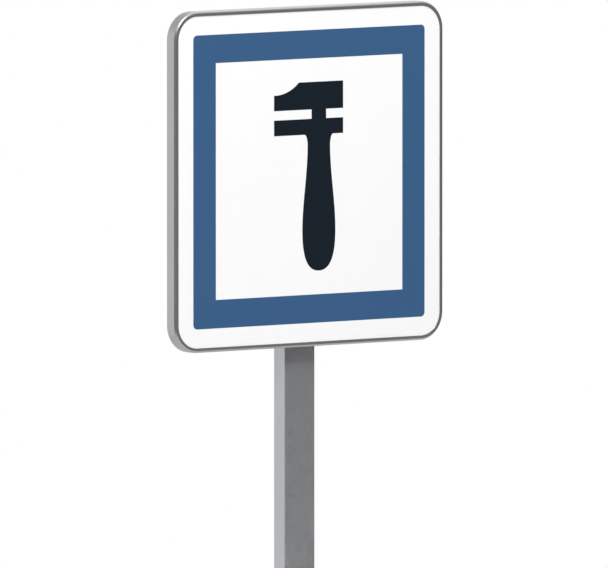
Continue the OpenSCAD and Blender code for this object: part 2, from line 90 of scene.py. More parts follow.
# The dark side and the dim part are this bright, where white is 1. Each part of the room goes from where
# it begins to where it is complete, told by how squarely a direction points ahead or up, from -1 to 1
DARK_SIDE, DARK_FROM, DARK_TO = 0.05, -0.50, 0.10
PALE_ABOVE_FROM, PALE_ABOVE_TO = 0.25, 0.75
PALE_BELOW_FROM, PALE_BELOW_TO = 0.60, 0.95
BACK_FROM, BACK_TO = 0.0, -0.5
DIM_BACK, DIM_BACK_FROM, DIM_BACK_TO = 0.60, 0.20, 0.55
LAMPS_AIM_AT = Vector((0, 0, 1.4))


def put(tree, kind, sockets=None, **settings):
    """Adds a node, gives its settings, and fills its sockets with values or links."""
    node = tree.nodes.new(kind)
    for name, value in settings.items():
        setattr(node, name, value)
    for name, value in (sockets or {}).items():
        if isinstance(value, bpy.types.NodeSocket):
            tree.links.new(value, node.inputs[name])
        else:
            node.inputs[name].default_value = value
    return node


def maths(tree, operation, a, b=0.0):
    return put(tree, "ShaderNodeMath", {0: a, 1: b}, operation=operation).outputs["Value"]


def between(tree, value, low=0.0, high=1.0, start=0.0, end=1.0, ease="LINEAR"):
    """Turns values from start to end into values from low to high."""
    return put(tree, "ShaderNodeMapRange", {"Value": value, "From Min": start, "From Max": end,
                                            "To Min": low, "To Max": high},
               interpolation_type=ease).outputs["Result"]


def pointing(tree, direction, way):
    """How squarely a direction points one way, from -1 to 1."""
    return put(tree, "ShaderNodeVectorMath", {0: direction, 1: way},
               operation="DOT_PRODUCT").outputs["Value"]


world = bpy.data.worlds.new("studio")
bpy.context.scene.world = world
world.use_nodes = True
room = world.node_tree
room.nodes.clear()
seen_by = put(room, "ShaderNodeLightPath").outputs
direction = put(room, "ShaderNodeTexCoord").outputs["Generated"]
ahead = pointing(room, direction, (0, -1, 0))
height = pointing(room, direction, (0, 0, 1))
in_front = between(room, ahead, start=DARK_FROM, end=DARK_TO, ease="SMOOTHSTEP")
not_above = between(room, height, start=PALE_ABOVE_TO, end=PALE_ABOVE_FROM, ease="SMOOTHSTEP")
not_below = between(room, height, start=-PALE_BELOW_TO, end=-PALE_BELOW_FROM, ease="SMOOTHSTEP")
dark = maths(room, "MULTIPLY", in_front, maths(room, "MULTIPLY", not_above, not_below))
behind = between(room, ahead, start=BACK_FROM, end=BACK_TO, ease="SMOOTHSTEP")
aloft = between(room, height, start=DIM_BACK_FROM, end=DIM_BACK_TO, ease="SMOOTHSTEP")
dim = maths(room, "MULTIPLY", behind, aloft)
mirrored = maths(room, "MULTIPLY", between(room, dark, 1.0, DARK_SIDE), between(room, dim, 1.0, DIM_BACK))
shines = maths(room, "MAXIMUM", seen_by["Is Glossy Ray"], seen_by["Is Transmission Ray"])
lit = put(room, "ShaderNodeMix", {"Factor": shines, "A": DAYLIGHT, "B": mirrored}).outputs["Result"]
strength = put(room, "ShaderNodeMix", {"Factor": seen_by["Is Camera Ray"], "A": lit, "B": 1.0})
background = put(room, "ShaderNodeBackground", {"Color": (1, 1, 1, 1),
                                                "Strength": strength.outputs["Result"]})
put(room, "ShaderNodeOutputWorld", {"Surface": background.outputs["Background"]})


def hang_lamp(name, place, width, watts):
    """A round soft lamp, turned towards the panel's lower part."""
    lamp = add(name, bpy.data.lights.new(name, "AREA"))
    lamp.data.shape = "DISK"
    lamp.data.size = width
    lamp.data.energy = watts
    lamp.location = place
    lamp.rotation_mode = "QUATERNION"
    lamp.rotation_quaternion = (LAMPS_AIM_AT - Vector(place)).to_track_quat("-Z", "Y")


hang_lamp("key_lamp", place=(-1.95, -3.6, 7.7), width=3.4, watts=200)
hang_lamp("front_lamp", place=(-1.6, -4.4, 6.4), width=0.8, watts=166)
hang_lamp("back_lamp", place=(3.4, 2.2, 6.0), width=5.0, watts=46)

# The floor: a pale painted disc round the post's foot that takes the sign's shadow. For the eye it
# fades to white towards its edge. It makes no part of the sign.
FLOOR_R, FLOOR_SIDES = 3.0, 96
FLOOR_DARKEST, FLOOR_PALEST = 0.80, 0.83
FADE_FROM, FADE_TO = 0.25, 0.95 * FLOOR_R


def noise(tree, where, scale, detail=4.0, rough=0.55):
    """Soft random patches, in coordinates of metres: the larger the scale, the finer they are."""
    return put(tree, "ShaderNodeTexNoise", {"Vector": where, "Scale": scale, "Detail": detail,
                                            "Roughness": rough}).outputs["Fac"]


disc = bmesh.new()
bmesh.ops.create_circle(disc, cap_ends=True, radius=FLOOR_R, segments=FLOOR_SIDES)
floor_mesh = bpy.data.meshes.new("floor")
disc.to_mesh(floor_mesh)
disc.free()
floor = add("floor", floor_mesh)

paint = bpy.data.materials.new("floor_paint")
paint.use_nodes = True
coat = paint.node_tree
coat.nodes.clear()
on_floor = put(coat, "ShaderNodeTexCoord").outputs["Object"]
grain = noise(coat, on_floor, scale=40, detail=4, rough=0.5)
pale = put(coat, "ShaderNodeBsdfDiffuse", {"Color": between(coat, grain, FLOOR_DARKEST, FLOOR_PALEST)})
distance = put(coat, "ShaderNodeVectorMath", {0: on_floor}, operation="LENGTH").outputs["Value"]
fade = between(coat, distance, start=FADE_FROM, end=FADE_TO, ease="SMOOTHERSTEP")
for_eye = maths(coat, "MULTIPLY", fade, put(coat, "ShaderNodeLightPath").outputs["Is Camera Ray"])
white = put(coat, "ShaderNodeEmission", {"Color": (1, 1, 1, 1), "Strength": 1.0})
mixed = put(coat, "ShaderNodeMixShader", {"Fac": for_eye, 1: pale.outputs["BSDF"],
                                          2: white.outputs["Emission"]})
put(coat, "ShaderNodeOutputMaterial", {"Surface": mixed.outputs["Shader"]})
floor_mesh.materials.append(paint)

# The post: an 80 by 40 mm steel tube with 2 mm walls and 3 mm corners, cold formed, welded along its
# length, sawn square and hot-dip galvanised. It stands in a ground sleeve that isn't part of the sign.
MM = 0.001
POST_W, POST_D, POST_WALL, POST_CORNER_R, POST_INNER_R = 80, 40, 2, 3, 0.5
SAW_CHAMFER = 0.3
WELD_W, WELD_H, WELD_SUNK, WELD_SHOULDER = 5, 0.7, 0.2, 0.75
WELD_FROM_FOOT, WELD_FROM_TOP = 1, 30
POST_TONE, POST_ROUGH, POST_SPANGLE_MM = 0.48, 0.34, 7
# Weathered zinc is part bare metal and part dull oxide, and a little cooler than grey
ZINC_METAL = 0.7
ZINC_TINT = (1, 1.015, 1.06)
CORNER_STEPS = 8
# Faces that meet at more degrees than this meet in an edge
EDGE_ANGLE = 35
SHADING_WEIGHT = 80


def rounded_outline(corners, steps=CORNER_STEPS):
    """Points of an outline whose corners, given as (x, y, radius), are rounded off."""
    points = []
    for i, (x, y, r) in enumerate(corners):
        here = Vector((x, y))
        before = (Vector(corners[i - 1][:2]) - here).normalized()
        after = (Vector(corners[(i + 1) % len(corners)][:2]) - here).normalized()
        if r <= 0:
            points.append(here)
            continue
        half = before.angle(after) / 2
        middle = here + (before + after).normalized() * (r / math.sin(half))
        start = here + before * (r / math.tan(half)) - middle
        end = here + after * (r / math.tan(half)) - middle
        whole_turn = start.angle_signed(end)
        for k in range(steps + 1):
            a = -whole_turn * k / steps
            c, s = math.cos(a), math.sin(a)
            points.append(middle + Vector((c * start.x - s * start.y, s * start.x + c * start.y)))
    return points


def rectangle(w, d, r, steps=CORNER_STEPS):
    """A rectangle with round corners, centred on the origin."""
    corners = [(w / 2, -d / 2, r), (w / 2, d / 2, r), (-w / 2, d / 2, r), (-w / 2, -d / 2, r)]
    return rounded_outline(corners, steps)


def at_height(outline, z):
    return [(p.x, p.y, z) for p in outline]


def join_rings(rings, closed_round=False):
    """Points and faces of a skin over rings of equal length. Its ends are capped, or joined together."""
    n = len(rings[0])
    points = [p for ring in rings for p in ring]
    faces = []
    for j in range(len(rings) if closed_round else len(rings) - 1):
        low, high = j * n, (j + 1) % len(rings) * n
        faces += [(low + i, low + (i + 1) % n, high + (i + 1) % n, high + i) for i in range(n)]
    if not closed_round:
        faces += [tuple(range(n - 1, -1, -1)), tuple(range(len(points) - n, len(points)))]
    return points, faces


def merged(solids):
    """Several solids as one list of points and one of faces."""
    points, faces = [], []
    for solid_points, solid_faces in solids:
        faces += [tuple(len(points) + i for i in face) for face in solid_faces]
        points += solid_points
    return points, faces


def in_metres(name, points, edges=(), faces=()):
    """A plain object in metres from points in millimetres."""
    mesh = bpy.data.meshes.new(name)
    mesh.from_pydata([tuple(v * MM for v in p) for p in points], edges, faces)
    return add(name, mesh)


def settle(piece, material, sharp=EDGE_ANGLE):
    """Turns every face outwards, smooths the curved ones and puts the material on."""
    shape = bmesh.new()
    shape.from_mesh(piece.data)
    bmesh.ops.recalc_face_normals(shape, faces=shape.faces)
    shape.to_mesh(piece.data)
    shape.free()
    piece.data.shade_smooth()
    piece.data.set_sharp_from_angle(angle=math.radians(sharp))
    piece.data.materials.clear()
    piece.data.materials.append(material)
    level = piece.modifiers.new("even shading", "WEIGHTED_NORMAL")
    level.keep_sharp = True
    level.weight = SHADING_WEIGHT


def make_piece(name, solids, material):
    """One piece from solids in millimetres."""
    points, faces = merged(solids)
    piece = in_metres(name, points, faces=faces)
    settle(piece, material)
    return piece


def stands_for(piece, node):
    """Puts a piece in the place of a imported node. Nothing on the sign moves, so all ride on its root."""
    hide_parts(node)
    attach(piece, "root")


def start_material(name):
    """A material with a Principled shader, and its object coordinates."""
    material = bpy.data.materials.new(name)
    material.use_nodes = True
    tree = material.node_tree
    tree.nodes.clear()
    shader = put(tree, "ShaderNodeBsdfPrincipled")
    put(tree, "ShaderNodeOutputMaterial", {"Surface": shader.outputs["BSDF"]})
    spot = put(tree, "ShaderNodeTexCoord").outputs["Object"]
    return material, tree, shader, spot


def stretched(tree, spot, scale, turn=(0, 0, 0)):
    """Coordinates stretched by scale, so that a pattern runs long where scale is small."""
    return put(tree, "ShaderNodeMapping", {"Vector": spot, "Scale": scale,
                                           "Rotation": turn}).outputs["Vector"]


def sum_of(tree, *values):
    total = values[0]
    for value in values[1:]:
        total = maths(tree, "ADD", total, value)
    return total


def tinted(tree, base, amount):
    """A colour made lighter or darker by the amount, round 1."""
    scaled = put(tree, "ShaderNodeVectorMath", {0: base, "Scale": amount}, operation="SCALE")
    return scaled.outputs["Vector"]


def raise_surface(tree, shader, height, strength, depth):
    """Fine relief: a height pattern, how strongly it shows, and its depth in metres."""
    bump = put(tree, "ShaderNodeBump", {"Height": height, "Strength": strength, "Distance": depth})
    tree.links.new(bump.outputs["Normal"], shader.inputs["Normal"])


def galvanised_steel(name, tone, rough, spangle_mm, run=(1, 1, 0.12)):
    """Dull zinc: a faint spangle, cloudy patches, and streaks along the way the steel was drawn out."""
    material, tree, shader, spot = start_material(name)
    spangle = put(tree, "ShaderNodeTexVoronoi", {"Vector": spot, "Scale": 1000 / spangle_mm,
                                                 "Randomness": 1.0})
    flake = put(tree, "ShaderNodeSeparateColor", {"Color": spangle.outputs["Color"]}).outputs["Red"]
    clouds = noise(tree, spot, scale=9, detail=5)
    streaks = noise(tree, stretched(tree, spot, run), scale=130, detail=3)
    specks = noise(tree, spot, scale=900, detail=2)
    shade = sum_of(tree, between(tree, flake, -0.025, 0.025), between(tree, clouds, 0.92, 1.08),
                   between(tree, streaks, -0.03, 0.03), between(tree, specks, -0.03, 0.03))
    colour = tuple(tone * part for part in ZINC_TINT)
    tree.links.new(tinted(tree, colour, shade), shader.inputs["Base Color"])
    shader.inputs["Metallic"].default_value = ZINC_METAL
    dulled = sum_of(tree, between(tree, flake, -0.04, 0.04),
                    between(tree, clouds, rough - 0.05, rough + 0.05))
    tree.links.new(dulled, shader.inputs["Roughness"])
    height = sum_of(tree, between(tree, specks, 0, 0.5), between(tree, flake, 0, 0.3), streaks)
    raise_surface(tree, shader, height, strength=0.25, depth=0.0002)
    return material


post_zinc = galvanised_steel("galvanised_post", POST_TONE, POST_ROUGH, POST_SPANGLE_MM)
post_low, post_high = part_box("post")
foot, top = post_low.z / MM, post_high.z / MM


def tube_ring(inset, z):
    """The tube's outline at a height, drawn in by the inset."""
    corner_r = max(POST_CORNER_R - inset, POST_INNER_R)
    return at_height(rectangle(POST_W - 2 * inset, POST_D - 2 * inset, corner_r), z)


tube = join_rings([
    tube_ring(SAW_CHAMFER, foot), tube_ring(0, foot + SAW_CHAMFER),
    tube_ring(0, top - SAW_CHAMFER), tube_ring(SAW_CHAMFER, top),
    tube_ring(POST_WALL - SAW_CHAMFER, top), tube_ring(POST_WALL, top - SAW_CHAMFER),
    tube_ring(POST_WALL, foot + SAW_CHAMFER), tube_ring(POST_WALL - SAW_CHAMFER, foot),
], closed_round=True)
weld_y = POST_D / 2 - POST_WALL + WELD_SUNK
shoulder_y = weld_y - WELD_SHOULDER * WELD_H
weld_line = [(WELD_W / 2, weld_y), (WELD_W / 4, shoulder_y), (0, weld_y - WELD_H),
             (-WELD_W / 4, shoulder_y), (-WELD_W / 2, weld_y)]
weld_ends = (foot + WELD_FROM_FOOT, top - WELD_FROM_TOP)
weld = join_rings([[(x, y, z) for x, y in weld_line] for z in weld_ends])
post = make_piece("post_tube", [tube, weld], post_zinc)
stands_for(post, "post")

# The cap: a black plastic plug pushed into the post's top end. It is moulded, with a sloped head and
# a hollow skirt whose thin fins grip the inside of the tube.
CAP_HEAD_H, CAP_SLOPE, CAP_EDGE_H, CAP_BREAK = 4, 2.5, 2, 0.3
CAP_SOFT_R, CAP_SOFT_STEPS, CAP_FLAT_IN = 0.6, 4, 3
# Corner radii in the middle of the flat top, at its rim and on the slope, and the least anywhere
CAP_FLAT_R, CAP_RIM_R, CAP_SLOPE_R, CAP_LEAST_R = 1.5, 2.6, 3, 0.6
SKIRT_H, SKIRT_WALL, SKIRT_GAP, SKIRT_LEAD_H, SKIRT_LEAD_IN = 24, 2, 0.5, 1, 0.5
FIN_H, FIN_GAP, FIN_COUNT = 1.2, 0.1, 3
CAP_BLACK, CAP_ROUGH = (0.042, 0.045, 0.048), 0.5


def moulded_plastic(name, colour, rough):
    """Dark plastic from a lightly etched mould, paler and duller in faint clouds where weather reaches."""
    material, tree, shader, spot = start_material(name)
    etched = noise(tree, spot, scale=2600, detail=2)
    clouds = noise(tree, spot, scale=22, detail=4)
    shade = sum_of(tree, between(tree, etched, -0.06, 0.06), between(tree, clouds, 0.86, 1.16))
    tree.links.new(tinted(tree, colour, shade), shader.inputs["Base Color"])
    tree.links.new(between(tree, clouds, rough - 0.07, rough + 0.07), shader.inputs["Roughness"])
    raise_surface(tree, shader, etched, strength=0.3, depth=0.0002)
    return material


def cap_ring(inset, height, r=None):
    """The cap's outline, drawn in by the inset, at a height over the post's end."""
    corner_r = r or max(POST_CORNER_R - inset, CAP_LEAST_R)
    return at_height(rectangle(POST_W - 2 * inset, POST_D - 2 * inset, corner_r), top + height)


in_tube = POST_WALL + SKIRT_GAP
fin_edge = POST_WALL + FIN_GAP
skirt_inside = in_tube + SKIRT_WALL
# From the middle of the flat top, over the soft edge and down the slope to the post's end
cap_levels = [(CAP_SLOPE + CAP_FLAT_IN, CAP_HEAD_H, CAP_FLAT_R),
              (CAP_SLOPE + CAP_SOFT_R, CAP_HEAD_H, CAP_RIM_R)]
for k in range(1, CAP_SOFT_STEPS + 1):
    lean = math.pi / 2 * k / CAP_SOFT_STEPS
    cap_levels.append((CAP_SLOPE + CAP_SOFT_R * (1 - math.sin(lean)),
                       CAP_HEAD_H - CAP_SOFT_R * (1 - math.cos(lean)), CAP_SLOPE_R))
cap_levels += [(CAP_SOFT_R / 3, CAP_EDGE_H + CAP_BREAK), (0, CAP_EDGE_H - CAP_BREAK), (0, CAP_SOFT_R),
               (CAP_SOFT_R / 3, CAP_SOFT_R / 3), (CAP_SOFT_R, 0), (in_tube, 0)]
# Down the skirt over its fins, round its end and up inside
for i in range(1, FIN_COUNT + 1):
    fin_z = -i * SKIRT_H / (FIN_COUNT + 1)
    cap_levels += [(in_tube, fin_z + FIN_H / 2), (fin_edge, fin_z + FIN_H / 6),
                   (fin_edge, fin_z - FIN_H / 6), (in_tube, fin_z - FIN_H / 2)]
cap_levels += [(in_tube, SKIRT_LEAD_H - SKIRT_H), (in_tube + SKIRT_LEAD_IN, -SKIRT_H),
               (skirt_inside, -SKIRT_H), (skirt_inside, 0)]
cap_plastic = moulded_plastic("cap_plastic", CAP_BLACK, CAP_ROUGH)
cap = make_piece("post_cap_moulding", [join_rings([cap_ring(*level) for level in cap_levels])], cap_plastic)
stands_for(cap, "post_cap")

# The face: an aluminium sheet with a white reflective film over all of it, a blue border film on
# that and a black spanner on top. The films are cut by plotter, rolled on and pressed flat.
SHEET_TONE, SHEET_ROUGH = 0.62, 0.38
WHITE = (0.90, 0.90, 0.90)
BLUE = (0.0345, 0.1025, 0.229)
BLACK = (0.0055, 0.0116, 0.0200)
FILM_CELL_MM, FILM_CELL_TURN = 3.4, math.radians(45)


def sheet_metal(name, tone, rough):
    """Rolled aluminium: fine lines one way, faint clouds and a few handling marks."""
    material, tree, shader, spot = start_material(name)
    lines = noise(tree, stretched(tree, spot, (0.02, 1, 1)), scale=1500, detail=3)
    clouds = noise(tree, spot, scale=7, detail=5)
    handled = noise(tree, stretched(tree, spot, (1, 1, 0.2)), scale=60, detail=6)
    marks = between(tree, handled, start=0.62, end=0.75)
    shade = sum_of(tree, between(tree, lines, 0.95, 1.05), between(tree, clouds, -0.05, 0.05))
    tree.links.new(tinted(tree, (tone, tone, tone * 1.01), shade), shader.inputs["Base Color"])
    shader.inputs["Metallic"].default_value = 1.0
    dulled = sum_of(tree, between(tree, lines, rough - 0.06, rough + 0.06), between(tree, marks, 0, 0.12))
    tree.links.new(dulled, shader.inputs["Roughness"])
    raise_surface(tree, shader, lines, strength=0.12, depth=0.0001)
    return material


def sign_film(name, colour, rough, cells, shine):
    """Film on a flat sheet: fine sealed cells, a slight ripple, and rain marks that run down it."""
    material, tree, shader, spot = start_material(name)
    diagonal_spot = stretched(tree, spot, (1, 1, 1), (0, FILM_CELL_TURN, 0))
    lattice = put(tree, "ShaderNodeTexVoronoi", {
        "Vector": diagonal_spot, "Scale": 1000 / FILM_CELL_MM, "Randomness": 0.0},
        feature="DISTANCE_TO_EDGE").outputs["Distance"]
    seals = between(tree, lattice, 1, 0, start=0.02, end=0.09)
    ripple = noise(tree, spot, scale=16, detail=2)
    rain = noise(tree, stretched(tree, spot, (1, 1, 0.05)), scale=45, detail=4)
    dust = noise(tree, spot, scale=5, detail=6, rough=0.65)
    shade = sum_of(tree, between(tree, seals, 0, -cells), between(tree, rain, 0.985, 1.005),
                   between(tree, dust, -0.008, 0.008))
    tree.links.new(tinted(tree, colour, shade), shader.inputs["Base Color"])
    dulled = sum_of(tree, between(tree, rain, rough - 0.05, rough + 0.05),
                    between(tree, dust, -0.04, 0.04))
    tree.links.new(dulled, shader.inputs["Roughness"])
    shader.inputs["Specular IOR Level"].default_value = shine
    relief = sum_of(tree, between(tree, seals, 0, 0.12), ripple)
    raise_surface(tree, shader, relief, strength=0.08, depth=0.0006)
    return material


def dress(node, material):
    """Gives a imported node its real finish."""
    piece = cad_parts[node]
    piece.data.materials.clear()
    piece.data.materials.append(material)
    for face in piece.data.polygons:
        face.material_index = 0


dress("face_sheet", sheet_metal("face_sheet_metal", SHEET_TONE, SHEET_ROUGH))
dress("white_film", sign_film("white_film_sheet", WHITE, rough=0.42, cells=0.02, shine=0.4))
dress("blue_border", sign_film("blue_film_sheet", BLUE, rough=0.42, cells=0.05, shine=0.3))
dress("spanner_symbol", sign_film("black_film_sheet", BLACK, rough=0.5, cells=0.10, shine=0.2))

# The edge profile: one aluminium extrusion bent round the panel's four corners and butted together at
# the bottom. A groove holds the sheet, the front edge is rounded and a flange runs round the back.
RIM_LIP, RIM_DEPTH, RIM_WALL, RIM_NOSE_R, RIM_REAR_R = 10, 28, 2, 5.4, 1
RIM_LIP_T, RIM_WEB_T, RIM_WEB_W, RIM_FLANGE_W, RIM_FLANGE_T = 1.4, 1.8, 12, 14, 2
# The lip's end is all but half round
RIM_LIP_R = RIM_LIP_T / 2 - 0.01
GROOVE_FLOOR, RIM_OUTER_R, RIM_SEAM = 4, 60, 0.3
FILM_AND_SHEET = 1.8
EXTRUDED_R, EXTRUDED_STEPS = 0.25, 6
RIM_TONE, RIM_ROUGH, RIM_EDGE_ANGLE = 0.44, 0.34, 40
ALUMINIUM_METAL = 0.8
ALUMINIUM_TINT = (1, 1.01, 1.035)
BEND_STEPS = 20
RIM_CORNERS, SEAM_SIDES = 4, 2
QUARTER = math.pi / 2


def tree_input(tree, name, kind):
    """A named input of a tree. Its identifier is what a modifier sets it by."""
    return tree.interface.new_socket(name, in_out="INPUT", socket_type=kind).identifier


def start_tree(name):
    tree = bpy.data.node_groups.new(name, "GeometryNodeTree")
    tree.interface.new_socket("Geometry", in_out="INPUT", socket_type="NodeSocketGeometry")
    tree.interface.new_socket("Geometry", in_out="OUTPUT", socket_type="NodeSocketGeometry")
    return tree


def end_tree(tree, geometry, metal):
    """Ends a tree in plain geometry with its material on."""
    real = put(tree, "GeometryNodeRealizeInstances", {"Geometry": geometry}).outputs["Geometry"]
    dressed = put(tree, "GeometryNodeSetMaterial", {"Geometry": real, "Material": metal})
    put(tree, "NodeGroupOutput", {"Geometry": dressed.outputs["Geometry"]})


def build_with(tree, name, start_mesh, values, material, sharp=EDGE_ANGLE):
    """Runs a tree on a mesh with its inputs set, and keeps the result as a plain piece."""
    piece = add(name, start_mesh)
    modifier = piece.modifiers.new(tree.name, "NODES")
    modifier.node_group = tree
    for identifier, value in values.items():
        modifier[identifier] = value
    bpy.context.view_layer.update()
    made = piece.evaluated_get(bpy.context.evaluated_depsgraph_get())
    piece_mesh = bpy.data.meshes.new_from_object(made)
    piece.modifiers.clear()
    piece.data = piece_mesh
    piece_mesh.name = name
    settle(piece, material, sharp)
    return piece


def store(tree, geometry, name, value):
    """Keeps a number on every point, for the material to read."""
    kept = put(tree, "GeometryNodeStoreNamedAttribute", {"Geometry": geometry, "Name": name, "Value": value},
               domain="POINT", data_type="FLOAT")
    return kept.outputs["Geometry"]


def on_circle(tree, radius, at):
    """Both coordinates of the point of a circle at an angle."""
    return [maths(tree, "MULTIPLY", radius, maths(tree, part, at)) for part in ("COSINE", "SINE")]


def extruded_aluminium(name, tone, rough, bent_round=False):
    """Satin extrusion: die lines that follow the profile, soft clouds, and scattered scuffs."""
    material, tree, shader, spot = start_material(name)
    spot_on_skin = spot
    if bent_round:
        run, girth = (put(tree, "ShaderNodeAttribute", attribute_name=way).outputs["Fac"]
                      for way in ("along", "across"))
        spot_on_skin = put(tree, "ShaderNodeCombineXYZ", {"X": run, "Y": girth}).outputs["Vector"]
    lines = noise(tree, stretched(tree, spot_on_skin, (0.8, 60, 60)), scale=60, detail=3)
    clouds = noise(tree, spot, scale=12, detail=4)
    scuffs = between(tree, noise(tree, spot, scale=190, detail=6, rough=0.7), start=0.60, end=0.74)
    shade = sum_of(tree, between(tree, lines, 0.95, 1.05), between(tree, clouds, -0.045, 0.045),
                   between(tree, scuffs, 0, -0.05))
    colour = tuple(tone * part for part in ALUMINIUM_TINT)
    tree.links.new(tinted(tree, colour, shade), shader.inputs["Base Color"])
    shader.inputs["Metallic"].default_value = ALUMINIUM_METAL
    dulled = sum_of(tree, between(tree, lines, rough - 0.05, rough + 0.05),
                    between(tree, scuffs, 0, 0.14))
    tree.links.new(dulled, shader.inputs["Roughness"])
    relief = sum_of(tree, lines, between(tree, scuffs, 0, -0.5))
    raise_surface(tree, shader, relief, strength=0.12, depth=0.0001)
    return material


bent = start_tree("profile bent round the panel")
IN_SECTION = tree_input(bent, "Section", "NodeSocketObject")
IN_HALF = tree_input(bent, "Half Side", "NodeSocketFloat")
IN_RADIUS = tree_input(bent, "Corner Radius", "NodeSocketFloat")
IN_STEPS = tree_input(bent, "Corner Steps", "NodeSocketInt")
IN_SEAM = tree_input(bent, "Seam Gap", "NodeSocketFloat")
IN_PLACE = tree_input(bent, "Place", "NodeSocketVector")
IN_METAL = tree_input(bent, "Metal", "NodeSocketMaterial")
size_in = put(bent, "NodeGroupInput").outputs

# The path's points are counted round from the seam: which corner a point is on, and its step on that
# corner. Half a point is added where a fraction is cut off, so that rounding can't pick the one before
per_corner = maths(bent, "ADD", size_in["Corner Steps"], 1.0)
count = maths(bent, "ADD", maths(bent, "MULTIPLY", per_corner, RIM_CORNERS), SEAM_SIDES)
index = put(bent, "GeometryNodeInputIndex").outputs["Index"]
on_corner = maths(bent, "SUBTRACT", index, 1.0)
corner = maths(bent, "FLOOR", maths(bent, "DIVIDE", maths(bent, "ADD", on_corner, 0.5), per_corner))
step = maths(bent, "SUBTRACT", on_corner, maths(bent, "MULTIPLY", corner, per_corner))

# Each corner's arc, round a centre that lies on a diagonal of the panel
part_turned = maths(bent, "DIVIDE", step, size_in["Corner Steps"])
turned = maths(bent, "MULTIPLY", maths(bent, "ADD", corner, part_turned), QUARTER)
angle = maths(bent, "SUBTRACT", turned, QUARTER)
diagonal = maths(bent, "SUBTRACT", maths(bent, "MULTIPLY", corner, QUARTER), QUARTER / 2)
centre_in = maths(bent, "SUBTRACT", size_in["Half Side"], size_in["Corner Radius"])
reach = maths(bent, "MULTIPLY", centre_in, math.sqrt(2))
centre_x, centre_y = on_circle(bent, reach, diagonal)
arc_x, arc_y = on_circle(bent, size_in["Corner Radius"], angle)

# The first and last points are the two sides of the seam, in the middle of the lower side
half_seam = maths(bent, "DIVIDE", size_in["Seam Gap"], 2.0)
is_first = maths(bent, "LESS_THAN", index, 0.5)
is_last = maths(bent, "GREATER_THAN", index, maths(bent, "SUBTRACT", count, 1.5))
is_end = maths(bent, "MAXIMUM", is_first, is_last)
end_x = maths(bent, "MULTIPLY", half_seam, maths(bent, "SUBTRACT", is_first, is_last))
end_y = maths(bent, "MULTIPLY", size_in["Half Side"], -1.0)
path_x = put(bent, "ShaderNodeMix", {"Factor": is_end, "A": maths(bent, "ADD", centre_x, arc_x), "B": end_x})
path_y = put(bent, "ShaderNodeMix", {"Factor": is_end, "A": maths(bent, "ADD", centre_y, arc_y), "B": end_y})
path_at = put(bent, "ShaderNodeCombineXYZ", {"X": path_x.outputs["Result"], "Y": path_y.outputs["Result"]})

# The path is laid through those points, the section is drawn along it, and the whole is stood upright
line = put(bent, "GeometryNodeCurvePrimitiveLine").outputs["Curve"]
dotted = put(bent, "GeometryNodeResampleCurve", {"Curve": line, "Count": count}).outputs["Curve"]
path = put(bent, "GeometryNodeSetPosition", {"Geometry": dotted, "Position": path_at.outputs["Vector"]})
upright = put(bent, "GeometryNodeSetCurveNormal", {"Curve": path.outputs["Geometry"]}, mode="Z_UP")
length = put(bent, "GeometryNodeSplineParameter").outputs["Length"]
measured = store(bent, upright.outputs["Curve"], "along", length)
section_mesh = put(bent, "GeometryNodeObjectInfo", {"Object": size_in["Section"]}).outputs["Geometry"]
section_curve = put(bent, "GeometryNodeMeshToCurve", {"Mesh": section_mesh}).outputs["Curve"]
section_ready = store(bent, section_curve, "across", length)
swept = put(bent, "GeometryNodeCurveToMesh", {"Curve": measured, "Profile Curve": section_ready,
                                              "Fill Caps": True}).outputs["Mesh"]
stood_up = put(bent, "GeometryNodeTransform", {"Geometry": swept, "Translation": size_in["Place"],
                                               "Rotation": (QUARTER, 0, 0)}).outputs["Geometry"]
end_tree(bent, stood_up, size_in["Metal"])

lip_y = RIM_LIP_T
groove_y = lip_y + FILM_AND_SHEET
web_y = groove_y + RIM_WEB_T
flange_y = RIM_DEPTH - RIM_FLANGE_T
rim_section = rounded_outline([
    (-RIM_LIP, 0, RIM_LIP_R), (0, 0, RIM_NOSE_R), (0, RIM_DEPTH, RIM_REAR_R),
    (-RIM_FLANGE_W, RIM_DEPTH, EXTRUDED_R), (-RIM_FLANGE_W, flange_y, EXTRUDED_R),
    (-RIM_WALL, flange_y, EXTRUDED_R), (-RIM_WALL, web_y, EXTRUDED_R),
    (-RIM_WEB_W, web_y, EXTRUDED_R), (-RIM_WEB_W, groove_y, EXTRUDED_R),
    (-GROOVE_FLOOR, groove_y, 0), (-GROOVE_FLOOR, lip_y, 0), (-RIM_LIP, lip_y, RIM_LIP_R),
], EXTRUDED_STEPS)
section_ring = [(i, (i + 1) % len(rim_section)) for i in range(len(rim_section))]
section_object = in_metres("rim_section", [(p.x, p.y, 0) for p in rim_section], section_ring)
rim_metal = extruded_aluminium("edge_profile_aluminium", RIM_TONE, RIM_ROUGH, bent_round=True)
rim_low, rim_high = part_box("edge_profile")
half_rim = (rim_high.x - rim_low.x) / 2
rim = build_with(bent, "edge_profile_bent", bpy.data.meshes.new("rim"), {
    IN_SECTION: section_object, IN_HALF: half_rim, IN_RADIUS: RIM_OUTER_R * MM, IN_STEPS: BEND_STEPS,
    IN_SEAM: RIM_SEAM * MM, IN_PLACE: (0, rim_low.y, panel_z), IN_METAL: rim_metal,
}, rim_metal, RIM_EDGE_ANGLE)
bpy.data.objects.remove(section_object)
stands_for(rim, "edge_profile")

# The joint of the edge profile: an aluminium angle lies in the channel behind the butt joint, and four
# blind rivets, set from the back, hold it to the flange.
BROKEN_EDGE, BROKEN_STEPS, BROKEN_ANGLE = 0.2, 2, 30
